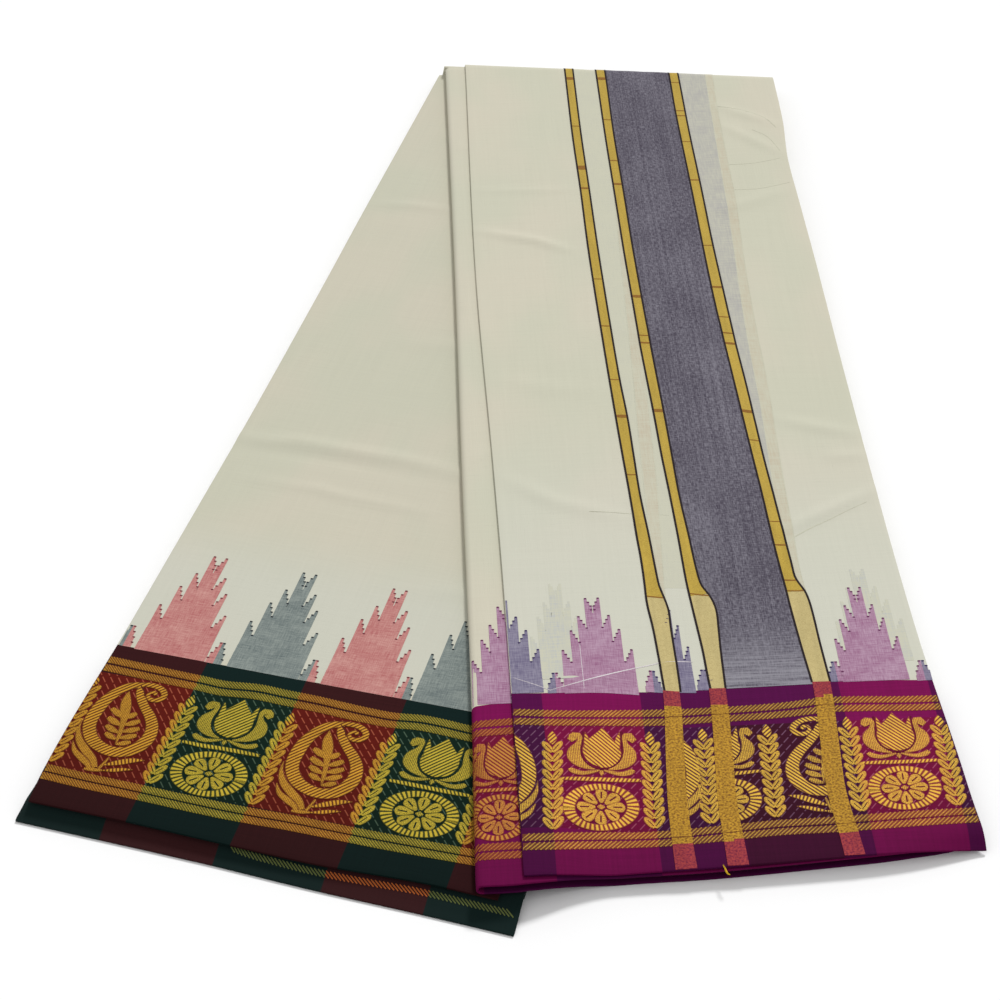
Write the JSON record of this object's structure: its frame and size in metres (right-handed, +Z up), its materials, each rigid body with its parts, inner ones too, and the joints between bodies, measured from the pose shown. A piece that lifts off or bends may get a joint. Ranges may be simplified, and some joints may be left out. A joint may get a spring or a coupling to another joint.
{
  "type": "folded dhoti cloth",
  "caption": "Unsewn cotton dhoti with woven two-colour borders and an end band, folded to a narrow strip and fanned into a narrow V that lies flat.",
  "frame": {"origin": "on the surface it rests on, under the middle of the bounding box", "axes": "+Z up; +Y along the upper leg from its selvedges towards the fold; +X to the right along that leg's selvedge"},
  "size_m": [0.406, 0.6802, 0.0132],
  "materials": {
    "undyed_cotton": "fine plain-woven undyed cotton, matte with a slight starch sheen",
    "maroon_green_border": "dyed cotton border in maroon and bottle green blocks, matte",
    "magenta_purple_border": "dyed cotton border in magenta and purple blocks, matte",
    "gold_zari": "metallic gold thread woven in, low lustre"
  },
  "bodies": {
    "root": {"left_leg_folds": "undyed_cotton", "left_leg_under_sheet": "maroon_green_border", "left_leg_top_sheet": "undyed_cotton", "right_leg_folds": "magenta_purple_border", "right_leg_second_fold": "undyed_cotton", "right_leg_top_sheet": "undyed_cotton", "top_fold_roll": "undyed_cotton"}
  },
  "joints": []
}
